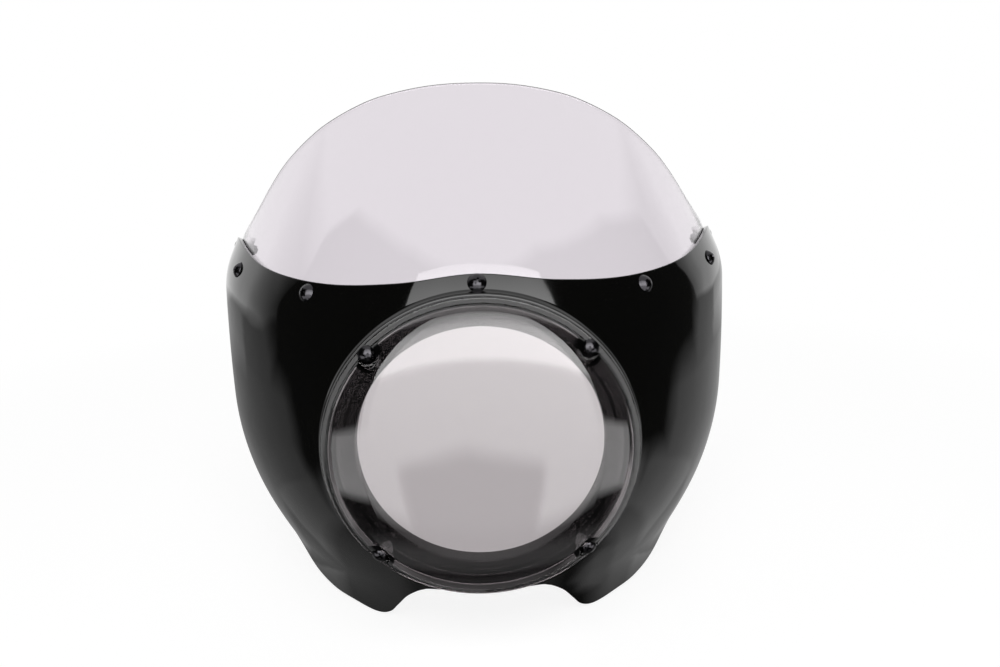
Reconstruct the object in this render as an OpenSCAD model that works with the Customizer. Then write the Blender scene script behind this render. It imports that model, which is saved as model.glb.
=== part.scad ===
// Headlight cowl for a cafe-style motorbike: a moulded shell that wraps back
// from a round lamp opening, a clear bubble windscreen inside its top margin,
// and a clear domed lens over the opening.
// Frame: origin at the centre of the lamp opening, on its front edge.
// The cowl faces -Y, +X is to the right as seen from the front, +Z is up.

/* [Lamp opening] */
// Inner diameter of the round opening
opening_d = 150; // [142:1:158]
// Length of the round lip behind the opening's front edge
lip_l = 10; // [6:1:16]
// Wall of the round lip
lip_t = 3; // [2:0.5:4]
// Width of the flat land round the opening
land_w = 6; // [5.5:0.5:8]
// Step from the land forward to the lens seat
seat_rise = 5.5; // [4.5:0.5:8]
// Width of the lens seat, out to the collar's edge
seat_w = 14; // [14:0.5:17]
// Wall of the seat and of the collar's rim
seat_t = 3; // [2:0.5:3.5]
// Wall of the collar's thin outer rim
rim_t = 1.8; // [1.2:0.2:2]

/* [Shell] */
// Width between the two top rear corners
corner_w = 380; // [360:5:400]
// Depth from the opening's front edge to the rear edge
reach = 212; // [200:2:230]
// Wall of the shell
shell_t = 3; // [2:0.25:3.5]
// How far the wall would bulge ahead of the opening at mid height
bulge = 30; // [28:1:34]
// Side-view radius of the nose
nose_r = 155; // [150:5:165]
// Slope of the chin and feet, back for each millimetre down
chin_slope = 0.5; // [0.35:0.05:0.6]
// Rise of the brow above the collar
brow_rise = 9.6; // [9.6:0.4:14]
// Dip of the top edge on each side of the brow
brow_dip = 7.2; // [5:0.2:8]
// Rise of the top edge over each side wing
wing_rise = 6.7; // [4:0.2:8]
// Height of the top rear corners above the opening's centre
corner_h = 103; // [98:1:106]
// Height where the side walls are widest
shoulder_h = 75; // [70:1:80]
// Front-view radius of the shoulder, above the widest height
shoulder_r = 48.5; // [45:0.5:60]
// Front-view radius of the jaw, below the opening's centre
jaw_r = 208; // [190:2:240]
// Height of the waist above the feet, below the centre when negative
waist_h = -100; // [-105:1:-92]
// Front-view radius of the flare from the waist out to the feet
flare_r = 45; // [40:1:80]
// Depth of the foot tips below the opening's centre
foot_drop = 136.5; // [130:0.5:145]
// Height of the lower rear corners, below the centre when negative
tail_h = -12; // [-30:1:10]
// How far the rear corners are rounded off forwards
tail_round = 7; // [3:0.5:10]

/* [Windscreen] */
// Thickness of the windscreen
screen_t = 3; // [2:0.25:3.5]
// Height of the windscreen's top above the opening's centre
screen_top = 217; // [200:1:230]
// Side-view radius of the windscreen, where it leans back
screen_r = 263; // [240:1:320]
// Depth of the windscreen's margin below its screws
margin = 6.5; // [6:0.5:8]

/* [Lens] */
// Thickness of the lens
lens_t = 3; // [2:0.25:3.5]
// Height of the lens dome above its flange
dome_h = 20; // [12:1:30]
// Width of the lens flange round the dome
flange_w = 3; // [2:0.5:4]
// Distance from the lens edge in to the collar's edge
lens_reveal = 1.5; // [1:0.25:2]

/* [Fasteners] */
// Diameter of the screw heads
head_d = 11; // [9:0.5:11]
// Height of the domed screw heads
head_h = 3.2; // [2.4:0.2:4]
// Thread diameter of the screws
thread_d = 5; // [4:0.5:5]
// Width of a nut across its flats
nut_w = 8; // [7:0.5:8]
// Thickness of a nut
nut_h = 4; // [3:0.5:4.5]
// Outer diameter of a washer
washer_d = 9; // [8:0.5:9]
// Thickness of a washer
washer_t = 1; // [0.8:0.1:1.2]
// Length of thread that stands out past a nut
thread_over = 1.5; // [1:0.5:3]

/* [Clearances] */
// Gap between the shell and the windscreen
screen_gap = 0.5; // [0.4:0.1:0.8]
// Gap under a flat washer on the windscreen's hollow side
washer_gap = 0.5; // [0.4:0.1:0.8]
// Gap round a screw in its hole
hole_gap = 0.25; // [0.15:0.05:0.5]
// Gap between a screw's thread and its nut or washer
thread_gap = 0.05; // [0.02:0.01:0.1]
// Gap between a lens screw's head and the wall of its pocket
pocket_gap = 0.7; // [0.4:0.1:1]

/* [Hidden] */
$fn = 72;
shell_black = [0.06, 0.06, 0.065];
screw_black = [0.15, 0.15, 0.16];
clear_grey = [0.82, 0.82, 0.86, 0.35];

screen_count = 7;
lens_count = 4;

// Radii of the stepped collar, from the bore outwards
bore_r = opening_d / 2;
land_r = bore_r + land_w;
collar_r = land_r + seat_w;
step_t = 2.2;
lens_r = collar_r - lens_reveal;
lens_screw_r = (land_r + step_t + collar_r - rim_t) / 2;
brow_h = collar_r + brow_rise;

// Heights where the wall's side view and front view change from arc to line
chin_z = -chin_slope * nose_r;
lean_h = shoulder_h + 0.45 * shoulder_r;
lean_slope = (lean_h - shoulder_h) / shoulder_r;
side_w = corner_w / 2 + shoulder_fall(corner_h);

// Heights as shares of the way up the screen, down the side and under the collar
function up(t) = brow_h + t * (screen_top - brow_h);
function down(t) = tail_h - t * (tail_h + foot_drop);
function under(t) = -collar_r - t * (foot_drop - collar_r);
tail_a = 90 - tail_round / (reach + bulge) * 180 / PI;

// The shell's edge and the windscreen's edges, as [angle round, height] points
top_keys = [
    [0, brow_h], [14, brow_h - 0.7 * brow_dip], [28, brow_h - brow_dip],
    [44, brow_h - 0.5 * brow_dip], [60, brow_h + 0.7 * wing_rise],
    [70, brow_h + wing_rise], [80, (brow_h + wing_rise + corner_h) / 2], [tail_a, corner_h]
];
low_keys = [
    [tail_a, tail_h], [78, down(0.24)], [66, down(0.51)], [55, down(0.77)], [48.5, down(0.89)],
    [40, down(0.955)], [33, down(0.975)], [26.2, -foot_drop], [22.8, under(0.9)],
    [20.5, under(0.65)], [18, under(0.38)], [15.7, under(0.21)], [13.4, under(0.09)],
    [10.5, under(0.034)], [0, under(0.034)]
];
screen_top_keys = [
    [0, screen_top], [11, up(0.99)], [21.7, up(0.953)], [30.8, up(0.898)], [42.2, up(0.782)],
    [49.9, up(0.663)], [56, up(0.541)], [60, up(0.416)], [64, up(0.26)], [69, up(0.15)],
    [76, up(0.08)], [82, up(0.04)], [88, up(0.01)]
];

// Screen screws on the right half, as [angle round, height]
screw_half = [
    [0, (collar_r + brow_h) / 2], [31.5, brow_h - 1.2 * head_d],
    [57, brow_h - 0.87 * head_d], [84, brow_h - 0.45 * head_d]
];
screen_low_keys = [
    [0, screw_half[0][1] - margin], [16, screw_half[1][1] - 0.7 * margin],
    [31.5, screw_half[1][1] - margin], [45, screw_half[1][1] - 0.85 * margin],
    [57, screw_half[2][1] - margin], [72, screw_half[3][1] - 1.3 * margin],
    [84, screw_half[3][1] - margin], [88, screw_half[3][1] - margin]
];
screen_spots = [for (i = [-3:3]) [sign(i) * screw_half[abs(i)][0], screw_half[abs(i)][1]]];

// Depths of the fastener stacks under each screw head
screen_stack = shell_t + screen_gap + screen_t + washer_gap;
lens_stack = lens_t + seat_t;

// Grid steps of the moulded sheets
edge_steps = 26;
tail_steps = 12;
foot_steps = 42;
shell_rows = 15;
screen_cols = 44;
screen_rows = 10;

// ---- wall shape: half ellipses seen from above, one for each height ----

// How far the side wall has come in from its widest, above the shoulder
function shoulder_fall(z) =
    z < shoulder_h ? 0 :
    z < lean_h ? pow(z - shoulder_h, 2) / (2 * shoulder_r) :
    pow(lean_h - shoulder_h, 2) / (2 * shoulder_r) + lean_slope * (z - lean_h);

// How far the side wall has come in below the centre, before it flares again
function jaw_fall(z) =
    z > 0 ? 0 :
    z > waist_h ? z * z / (2 * jaw_r) :
    waist_h * waist_h / (2 * jaw_r) - waist_h / jaw_r * (waist_h - z)
        - pow(waist_h - z, 2) / (2 * flare_r);

// Half the wall's width at a height, and its slope
function half_w(z) = side_w - shoulder_fall(z) - jaw_fall(z);
function half_w_slope(z) =
    z < waist_h ? -waist_h / jaw_r - (waist_h - z) / flare_r :
    z < 0 ? -z / jaw_r :
    z < shoulder_h ? 0 :
    -(min(z, lean_h) - shoulder_h) / shoulder_r;

// The nose's place at a height, and its slope
function nose_arc(z) = z * z / (2 * nose_r) - bulge;
function nose_y(z) =
    z < chin_z ? nose_arc(chin_z) - chin_slope * (z - chin_z) :
    z > brow_h ? nose_arc(brow_h) + brow_h / nose_r * (z - brow_h)
                 + pow(z - brow_h, 2) / (2 * screen_r) :
    nose_arc(z);
function nose_slope(z) =
    z < chin_z ? -chin_slope :
    z > brow_h ? brow_h / nose_r + (z - brow_h) / screen_r :
    z / nose_r;

// A point on the wall's outer face, and the outward normal there
function wall_point(a, z) = [
    half_w(z) * sin(a),
    nose_y(z) + (reach - nose_y(z)) * (1 - cos(a)),
    z
];
function wall_normal(a, z) =
    let (
        w = half_w(z), d = reach - nose_y(z),
        n = [d * sin(a), -w * cos(a),
             w * nose_slope(z) * pow(cos(a), 2) - half_w_slope(z) * d * pow(sin(a), 2)]
    ) n / norm(n);
function wall_at(p, depth) = wall_point(p[0], p[1]) - depth * wall_normal(p[0], p[1]);

// ---- smooth curves through key points ----

// Point at u, from 0 to 1; a curve that starts at the middle is level there
function key_before(k, i) = i > 0 ? k[i - 1] : k[0][0] == 0 ? [-k[1][0], k[1][1]] : k[0];
function key_after(k, i) =
    i + 2 < len(k) ? k[i + 2] : k[len(k) - 1][0] == 0 ? [-k[len(k) - 2][0], k[len(k) - 2][1]]
                                                      : k[len(k) - 1];
function curve(k, u) =
    let (
        s = u * (len(k) - 1), i = min(floor(s), len(k) - 2), t = s - i,
        a = key_before(k, i), b = k[i], c = k[i + 1], d = key_after(k, i)
    ) b + t * ((c - a) / 2 + t * ((2 * a - 5 * b + 4 * c - d) / 2 + t * (3 * b - a - 3 * c + d) / 2));

// Height of a curve at an angle round, by halving
function curve_height(k, a, lo = 0, hi = 1, n = 22) =
    n == 0 ? curve(k, lo)[1] :
    curve(k, (lo + hi) / 2)[0] < a ? curve_height(k, a, (lo + hi) / 2, hi, n - 1)
                                   : curve_height(k, a, lo, (lo + hi) / 2, n - 1);

// ---- sheets with an even wall ----

// Solid between two grids of points; wrap joins the last column to the first
module sheet(front, back, wrap) {
    rows = len(front);
    cols = len(front[0]);
    n = rows * cols;
    last = wrap ? cols - 1 : cols - 2;
    function at(i, j) = i * cols + j % cols;
    polyhedron(
        points = concat([for (r = front) each r], [for (r = back) each r]),
        faces = concat(
            [for (i = [0:rows - 2], j = [0:last]) each
                [[at(i, j), at(i + 1, j + 1), at(i, j + 1)], [at(i, j), at(i + 1, j), at(i + 1, j + 1)]]],
            [for (i = [0:rows - 2], j = [0:last]) each
                [[n + at(i, j), n + at(i, j + 1), n + at(i + 1, j + 1)],
                 [n + at(i, j), n + at(i + 1, j + 1), n + at(i + 1, j)]]],
            [for (j = [0:last]) each
                [[at(0, j), n + at(0, j + 1), n + at(0, j)], [at(0, j), at(0, j + 1), n + at(0, j + 1)]]],
            [for (i = [rows - 1], j = [0:last]) each
                [[at(i, j), n + at(i, j), n + at(i, j + 1)], [at(i, j), n + at(i, j + 1), at(i, j + 1)]]],
            wrap ? [] : [for (i = [0:rows - 2]) each
                [[at(i, 0), n + at(i, 0), n + at(i + 1, 0)], [at(i, 0), n + at(i + 1, 0), at(i + 1, 0)],
                 [at(i, cols - 1), n + at(i + 1, cols - 1), n + at(i, cols - 1)],
                 [at(i, cols - 1), at(i + 1, cols - 1), n + at(i + 1, cols - 1)]]]
        )
    );
}

// The shell's outline, from the brow round one side, the chin and back
half_edge = concat(
    [for (i = [0:edge_steps - 1]) curve(top_keys, i / edge_steps)],
    [for (i = [0:tail_steps - 1]) let (t = i / tail_steps)
        [90 - (90 - tail_a) * pow(1 - 2 * t, 6), corner_h + (tail_h - corner_h) * t]],
    [for (i = [0:foot_steps]) curve(low_keys, i / foot_steps)]
);
edge = concat(half_edge, [for (i = [len(half_edge) - 2:-1:1]) [-half_edge[i][0], half_edge[i][1]]]);

// Where the wall starts inside the collar's rim, in line with an edge point
function root_point(p) =
    let (
        a = atan2(p[1], p[0] * side_w * PI / 180), r = collar_r - rim_t / 4,
        z = r * sin(a)
    ) [asin(r * cos(a) / half_w(z)), z];
function shell_row(u, depth) =
    [for (p = edge) let (q = root_point(p), t = 1 - pow(1 - u, 1.25)) wall_at(q + (p - q) * t, depth)];

function screen_row(u, depth) = [
    for (j = [0:screen_cols])
        let (a = 88 * (2 * j / screen_cols - 1),
             lo = curve_height(screen_low_keys, abs(a)), hi = curve_height(screen_top_keys, abs(a)))
        wall_at([a, lo + (hi - lo) * u], depth)
];

// ---- places for the fasteners ----

// Local +Z points out of the wall, with the origin on its outer face
module on_wall(p) {
    n = wall_normal(p[0], p[1]);
    translate(wall_point(p[0], p[1]))
        rotate([0, acos(n[2]), atan2(n[1], n[0])]) children();
}

// Local +Z points forward, with the origin on the lens flange's front face
module on_lens(i) {
    a = 45 + 90 * i;
    translate([lens_screw_r * cos(a), -seat_rise - lens_t, lens_screw_r * sin(a)])
        rotate([90, 0, 0]) children();
}

// A profile of [radius, depth] points turned about the opening's axis
module turned(profile) {
    rotate([-90, 0, 0]) rotate_extrude($fn = 144) polygon(profile);
}

module drill(depth) {
    translate([0, 0, -depth]) cylinder(r = thread_d / 2 + hole_gap, h = depth + head_h);
}

module fairing_shell() {
    color(shell_black) difference() {
        union() {
            sheet([for (i = [0:shell_rows]) shell_row(i / shell_rows, 0)],
                  [for (i = [0:shell_rows]) shell_row(i / shell_rows, shell_t)], true);
            turned([
                [bore_r, 0], [land_r, 0], [land_r, -seat_rise], [collar_r, -seat_rise],
                [collar_r, shell_t / 4], [collar_r - rim_t, shell_t / 4],
                [collar_r - rim_t, seat_t - seat_rise], [land_r + step_t, seat_t - seat_rise],
                [land_r + step_t, lip_t], [bore_r + lip_t, lip_t],
                [bore_r + lip_t, lip_l], [bore_r, lip_l]
            ]);
        }
        for (p = screen_spots) on_wall(p) drill(2 * shell_t);
        for (i = [0:lens_count - 1]) on_lens(i) drill(lens_t + 2 * seat_t);
    }
}

module windscreen() {
    front = shell_t + screen_gap;
    color(clear_grey) difference() {
        sheet([for (i = [0:screen_rows]) screen_row(i / screen_rows, front)],
              [for (i = [0:screen_rows]) screen_row(i / screen_rows, front + screen_t)], false);
        for (p = screen_spots) on_wall(p) drill(screen_stack + screen_t);
    }
}

// Dome with a flattened crown and a round shoulder, standing on a base plane
function dome_profile(r, h, base) = concat(
    [[0, base]], [for (a = [90:-6:0]) [r * pow(sin(a), 2 / 3), base - h * cos(a)]]
);

module headlight_lens() {
    pocket_r = head_d / 2 + pocket_gap;
    dome_r = lens_r - flange_w;
    front = -seat_rise - lens_t;
    module pockets(r) {
        for (i = [0:lens_count - 1]) on_lens(i) cylinder(r = r, h = 2 * dome_h);
    }
    color(clear_grey) difference() {
        union() {
            difference() {
                turned(dome_profile(dome_r, dome_h, front));
                pockets(pocket_r);
            }
            turned([[0, -seat_rise], [lens_r, -seat_rise], [lens_r, front], [0, front]]);
            for (i = [0:lens_count - 1]) on_lens(i)
                translate([0, 0, -lens_t]) cylinder(r = pocket_r + 0.4, h = lens_t);
        }
        difference() {
            turned(dome_profile(dome_r - lens_t, dome_h, -seat_rise));
            for (i = [0:lens_count - 1]) on_lens(i)
                translate([0, 0, -lens_t]) cylinder(r = pocket_r + lens_t, h = 2 * dome_h);
        }
        for (i = [0:lens_count - 1]) on_lens(i) drill(2 * lens_t);
    }
}

// Domed screw with a cross recess; its head seats at local z = 0
module screw(stack) {
    shank = stack + washer_t + nut_h + thread_over;
    crown_r = (pow(head_d / 2, 2) + head_h * head_h) / (2 * head_h);
    color(screw_black) difference() {
        union() {
            intersection() {
                translate([0, 0, head_h - crown_r]) sphere(r = crown_r);
                cylinder(r = head_d, h = head_h);
            }
            translate([0, 0, -shank]) cylinder(r = thread_d / 2, h = shank + head_h / 2);
        }
        for (a = [45, 135]) rotate(a)
            translate([-head_d / 4, -head_d / 20, head_h / 2]) cube([head_d / 2, head_d / 10, head_h]);
    }
}

module washer(stack) {
    color(screw_black) translate([0, 0, -stack - washer_t]) difference() {
        cylinder(r = washer_d / 2, h = washer_t);
        translate([0, 0, -washer_t]) cylinder(r = thread_d / 2 + thread_gap, h = 3 * washer_t);
    }
}

module nut(stack) {
    color(screw_black) translate([0, 0, -stack - washer_t - nut_h]) difference() {
        cylinder(r = nut_w / 2 / cos(30), h = nut_h, $fn = 6);
        translate([0, 0, -nut_h]) cylinder(r = thread_d / 2 + thread_gap, h = 3 * nut_h);
    }
}

fairing_shell();
windscreen();
headlight_lens();
for (i = [1:screen_count]) {
    on_wall(screen_spots[i - 1]) screw(screen_stack);
    on_wall(screen_spots[i - 1]) washer(screen_stack);
    on_wall(screen_spots[i - 1]) nut(screen_stack);
}
for (i = [1:lens_count]) {
    on_lens(i - 1) screw(lens_stack);
    on_lens(i - 1) washer(lens_stack);
    on_lens(i - 1) nut(lens_stack);
}
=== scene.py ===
import math
import bpy
import bmesh
import numpy as np
from mathutils import Matrix, Vector


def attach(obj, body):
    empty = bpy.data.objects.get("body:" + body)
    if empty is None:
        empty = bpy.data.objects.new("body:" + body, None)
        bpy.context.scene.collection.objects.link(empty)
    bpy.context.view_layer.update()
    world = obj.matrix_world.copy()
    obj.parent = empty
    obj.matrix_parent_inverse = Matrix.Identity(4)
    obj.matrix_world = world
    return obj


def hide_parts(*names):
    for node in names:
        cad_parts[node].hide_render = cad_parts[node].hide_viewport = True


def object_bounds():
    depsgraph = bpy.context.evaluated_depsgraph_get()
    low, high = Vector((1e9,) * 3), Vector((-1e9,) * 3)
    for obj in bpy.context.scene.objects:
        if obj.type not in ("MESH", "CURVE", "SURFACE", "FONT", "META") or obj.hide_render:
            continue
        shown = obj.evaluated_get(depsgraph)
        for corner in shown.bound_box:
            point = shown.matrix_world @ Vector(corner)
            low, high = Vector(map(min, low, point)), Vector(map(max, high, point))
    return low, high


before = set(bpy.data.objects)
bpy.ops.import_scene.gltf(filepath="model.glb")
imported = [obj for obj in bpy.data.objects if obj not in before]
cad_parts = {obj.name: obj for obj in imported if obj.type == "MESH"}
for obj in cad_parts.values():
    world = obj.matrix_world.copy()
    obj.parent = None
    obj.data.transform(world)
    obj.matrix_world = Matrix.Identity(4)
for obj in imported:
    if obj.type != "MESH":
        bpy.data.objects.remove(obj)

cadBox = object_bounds()
scene = bpy.context.scene
mm = 0.001    # sizes below are in millimetres, Blender's are in metres
print("frame loaded:", len(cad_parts), "nodes")


# ---- colours and nodes ----

def hexColour(code):    # "#rrggbb" in sRGB to linear red, green, blue, alpha
    parts = [int(code[i:i + 2], 16) / 255 for i in (1, 3, 5)]
    return [c / 12.92 if c <= 0.04045 else ((c + 0.055) / 1.055) ** 2.4 for c in parts] + [1.0]


def addNode(tree, kind, settings=None, links=None):    # a node, its settings by name, and what feeds its inputs
    made = tree.nodes.new(kind)
    for name, value in (settings or {}).items():
        if isinstance(name, int) or name in made.inputs:
            made.inputs[name].default_value = value
        else:
            setattr(made, name, value)
    for name, source in (links or {}).items():
        tree.links.new(source, made.inputs[name])
    return made


def newMaterial(name):
    material = bpy.data.materials.new(name)
    material.use_nodes = True
    material.node_tree.nodes.clear()
    return material, material.node_tree


def finishMaterial(tree, shader):
    addNode(tree, "ShaderNodeOutputMaterial", links={"Surface": shader.outputs[0]})


# ---- the wall that the shell and the windscreen share, as in the CAD ----

wall = {
    "cornerWidth": 380, "reach": 212, "bulge": 30, "noseRadius": 155, "chinSlope": 0.5,
    "shoulderHeight": 75, "shoulderRadius": 48.5, "jawRadius": 208, "waistHeight": -100, "flareRadius": 45,
    "cornerHeight": 103, "tailHeight": -12, "tailRound": 7, "footDrop": 136.5,
    "collarRadius": 95, "browHeight": 104.6, "browDip": 7.2, "wingRise": 6.7,
    "screenTop": 217, "screenRadius": 263, "headWidth": 11, "margin": 6.5,
}
chinHeight = -wall["chinSlope"] * wall["noseRadius"]
leanHeight = wall["shoulderHeight"] + 0.45 * wall["shoulderRadius"]
leanSlope = (leanHeight - wall["shoulderHeight"]) / wall["shoulderRadius"]


def shoulderFall(z):
    low = (z - wall["shoulderHeight"]) ** 2 / (2 * wall["shoulderRadius"])
    top = (leanHeight - wall["shoulderHeight"]) ** 2 / (2 * wall["shoulderRadius"])
    return np.where(z < wall["shoulderHeight"], 0, np.where(z < leanHeight, low, top + leanSlope * (z - leanHeight)))


def jawFall(z):
    w, j = wall["waistHeight"], wall["jawRadius"]
    flared = w * w / (2 * j) - w / j * (w - z) - (w - z) ** 2 / (2 * wall["flareRadius"])
    return np.where(z > 0, 0, np.where(z > w, z * z / (2 * j), flared))


sideWidth = wall["cornerWidth"] / 2 + float(shoulderFall(np.array(wall["cornerHeight"])))


def halfWidth(z):
    return sideWidth - shoulderFall(z) - jawFall(z)


def halfWidthSlope(z):
    w, j = wall["waistHeight"], wall["jawRadius"]
    upper = -(np.minimum(z, leanHeight) - wall["shoulderHeight"]) / wall["shoulderRadius"]
    return np.where(z < w, -w / j - (w - z) / wall["flareRadius"],
                    np.where(z < 0, -z / j, np.where(z < wall["shoulderHeight"], 0, upper)))


def noseArc(z):
    return z * z / (2 * wall["noseRadius"]) - wall["bulge"]


def nosePlace(z):
    h, r = wall["browHeight"], wall["noseRadius"]
    screen = noseArc(h) + h / r * (z - h) + (z - h) ** 2 / (2 * wall["screenRadius"])
    chin = noseArc(chinHeight) - wall["chinSlope"] * (z - chinHeight)
    return np.where(z < chinHeight, chin, np.where(z > h, screen, noseArc(z)))


def noseSlope(z):
    h, r = wall["browHeight"], wall["noseRadius"]
    return np.where(z < chinHeight, -wall["chinSlope"], np.where(z > h, h / r + (z - h) / wall["screenRadius"], z / r))


def wallPoint(angle, z):
    a, y = np.radians(angle), nosePlace(z)
    return np.stack([halfWidth(z) * np.sin(a), y + (wall["reach"] - y) * (1 - np.cos(a)), z + 0 * a], -1)


def wallNormal(angle, z):
    a, w, d = np.radians(angle), halfWidth(z), wall["reach"] - nosePlace(z)
    n = np.stack([d * np.sin(a), -w * np.cos(a),
                  w * noseSlope(z) * np.cos(a) ** 2 - halfWidthSlope(z) * d * np.sin(a) ** 2], -1)
    return n / np.linalg.norm(n, axis=-1, keepdims=True)


def wallAt(angle, z, depth):
    return wallPoint(angle, z) - np.asarray(depth)[..., None] * wallNormal(angle, z)


def curveThrough(keys, u):    # smooth curve through [angle, height] keys; level where it meets the middle
    k = np.array(keys, float)
    mirror = lambda p: np.array([-p[0], p[1]])
    before = mirror(k[1]) if k[0][0] == 0 else k[0]
    after = mirror(k[-2]) if k[-1][0] == 0 else k[-1]
    k = np.vstack([before, k, after])
    s = np.asarray(u) * (len(k) - 3)
    i = np.minimum(s.astype(int), len(k) - 4)
    t = (s - i)[:, None]
    a, b, c, d = k[i], k[i + 1], k[i + 2], k[i + 3]
    return b + t * ((c - a) / 2 + t * ((2 * a - 5 * b + 4 * c - d) / 2 + t * (3 * b - a - 3 * c + d) / 2))


def curveHeights(keys, angles):
    dense = curveThrough(keys, np.linspace(0, 1, 4001))
    return np.interp(np.abs(angles), dense[:, 0], dense[:, 1])


def sheetUp(t): return wall["browHeight"] + t * (wall["screenTop"] - wall["browHeight"])
def sideDown(t): return wall["tailHeight"] - t * (wall["tailHeight"] + wall["footDrop"])
def underCollar(t): return -wall["collarRadius"] - t * (wall["footDrop"] - wall["collarRadius"])


tailAngle = 90 - math.degrees(wall["tailRound"] / (wall["reach"] + wall["bulge"]))
brow, dip, wing, head, margin = (wall[k] for k in ("browHeight", "browDip", "wingRise", "headWidth", "margin"))
topKeys = [[0, brow], [14, brow - 0.7 * dip], [28, brow - dip], [44, brow - 0.5 * dip], [60, brow + 0.7 * wing],
           [70, brow + wing], [80, (brow + wing + wall["cornerHeight"]) / 2], [tailAngle, wall["cornerHeight"]]]
lowKeys = [[tailAngle, wall["tailHeight"]], [78, sideDown(0.24)], [66, sideDown(0.51)], [55, sideDown(0.77)],
           [48.5, sideDown(0.89)], [40, sideDown(0.955)], [33, sideDown(0.975)], [26.2, -wall["footDrop"]],
           [22.8, underCollar(0.9)], [20.5, underCollar(0.65)], [18, underCollar(0.38)], [15.7, underCollar(0.21)],
           [13.4, underCollar(0.09)], [10.5, underCollar(0.034)], [0, underCollar(0.034)]]
screenTopKeys = [[0, wall["screenTop"]], [11, sheetUp(0.99)], [21.7, sheetUp(0.953)], [30.8, sheetUp(0.898)],
                 [42.2, sheetUp(0.782)], [49.9, sheetUp(0.663)], [56, sheetUp(0.541)], [60, sheetUp(0.416)],
                 [64, sheetUp(0.26)], [69, sheetUp(0.15)], [76, sheetUp(0.08)], [82, sheetUp(0.04)], [88, sheetUp(0.01)]]
screwHalf = [[0, (wall["collarRadius"] + brow) / 2], [31.5, brow - 1.2 * head], [57, brow - 0.87 * head], [84, brow - 0.45 * head]]
screenLowKeys = [[0, screwHalf[0][1] - margin], [16, screwHalf[1][1] - 0.7 * margin], [31.5, screwHalf[1][1] - margin],
                 [45, screwHalf[1][1] - 0.85 * margin], [57, screwHalf[2][1] - margin], [72, screwHalf[3][1] - 1.3 * margin],
                 [84, screwHalf[3][1] - margin], [88, screwHalf[3][1] - margin]]


# ---- mesh helpers ----

def faceOutwards(mesh, mergeDistance=0):
    bm = bmesh.new()
    bm.from_mesh(mesh)
    if mergeDistance:
        bmesh.ops.remove_doubles(bm, verts=bm.verts, dist=mergeDistance * mm)
    bmesh.ops.recalc_face_normals(bm, faces=bm.faces)
    bm.to_mesh(mesh)
    bm.free()


def finishMesh(mesh, material, crispAngle):    # smooth, but crisp at edges that turn by more than this angle
    for polygon in mesh.polygons:
        polygon.use_smooth = True
    mesh.set_sharp_from_angle(angle=math.radians(crispAngle))
    mesh.materials.clear()
    mesh.materials.append(material)
    return mesh


def makePiece(name, points, faces, material, node, crispAngle=40):
    mesh = bpy.data.meshes.new(name)
    mesh.from_pydata([tuple(float(c) * mm for c in p) for p in points], [], faces)
    mesh.validate()
    faceOutwards(mesh, mergeDistance=0.02)
    piece = bpy.data.objects.new(name, finishMesh(mesh, material, crispAngle))
    scene.collection.objects.link(piece)
    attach(piece, "root")
    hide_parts(node)
    return piece


def gridFaces(rows, cols, offset=0, loopRows=False, loopCols=False):
    faces = []
    for i in range(rows if loopRows else rows - 1):
        for j in range(cols if loopCols else cols - 1):
            a, b = i * cols + j, i * cols + (j + 1) % cols
            c, d = ((i + 1) % rows) * cols + (j + 1) % cols, ((i + 1) % rows) * cols + j
            faces.append((offset + a, offset + b, offset + c, offset + d))
    return faces


def roundedProfile(corners, steps=5):    # closed outline of (x, y, radius) corners, each corner rounded
    outline, n = [], len(corners)
    for i in range(n):
        p, q, r = (np.array(corners[(i + k) % n][:2], float) for k in (-1, 0, 1))
        radius = corners[i][2]
        if radius <= 0:
            outline.append(tuple(q))
            continue
        u, v = (p - q) / np.linalg.norm(p - q), (r - q) / np.linalg.norm(r - q)
        half = math.acos(max(-1, min(1, float(u @ v)))) / 2
        radius = min(radius, 0.49 * min(np.linalg.norm(p - q), np.linalg.norm(r - q)) * math.tan(half))
        start, end = q + u * radius / math.tan(half), q + v * radius / math.tan(half)
        centre = q + (u + v) / np.linalg.norm(u + v) * radius / math.sin(half)
        s, e = start - centre, end - centre
        turn = math.atan2(s[0] * e[1] - s[1] * e[0], float(s @ e))
        for k in range(steps + 1):
            a = turn * k / steps
            outline.append(tuple(centre + np.array([s[0] * math.cos(a) - s[1] * math.sin(a),
                                                    s[0] * math.sin(a) + s[1] * math.cos(a)])))
    return outline


def turnedAboutY(profile, segments):    # (radius, y) outline turned about the opening's axis
    a = np.linspace(0, 2 * math.pi, segments, endpoint=False)
    return [(r * math.cos(t), y, r * math.sin(t)) for r, y in profile for t in a]


# ---- materials ----

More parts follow.
